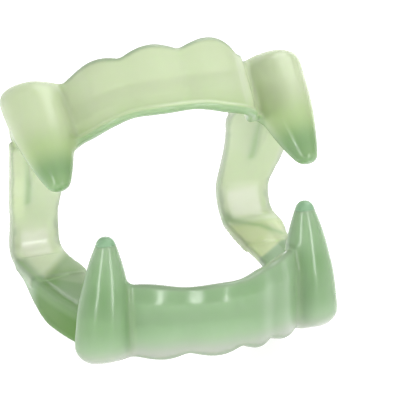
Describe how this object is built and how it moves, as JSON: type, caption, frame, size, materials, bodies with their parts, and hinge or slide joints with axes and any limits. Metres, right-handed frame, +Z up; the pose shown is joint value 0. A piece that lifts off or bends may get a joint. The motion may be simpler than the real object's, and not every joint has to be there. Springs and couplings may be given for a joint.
{
  "type": "vampire fang denture",
  "caption": "One-piece soft plastic costume denture: upper and lower arches of teeth with long fangs, joined at the back by flat straps that bend.",
  "frame": {"origin": "bottom centre of the box round the whole denture", "axes": "+X towards the wearer's left side, -Y the front with the teeth, +Y the back with the straps, +Z up"},
  "size_m": [0.0522, 0.043, 0.0455],
  "materials": {
    "plastic": "soft gloss, translucent pale green"
  },
  "bodies": {
    "root": {"fang_denture": "plastic"}
  },
  "joints": []
}
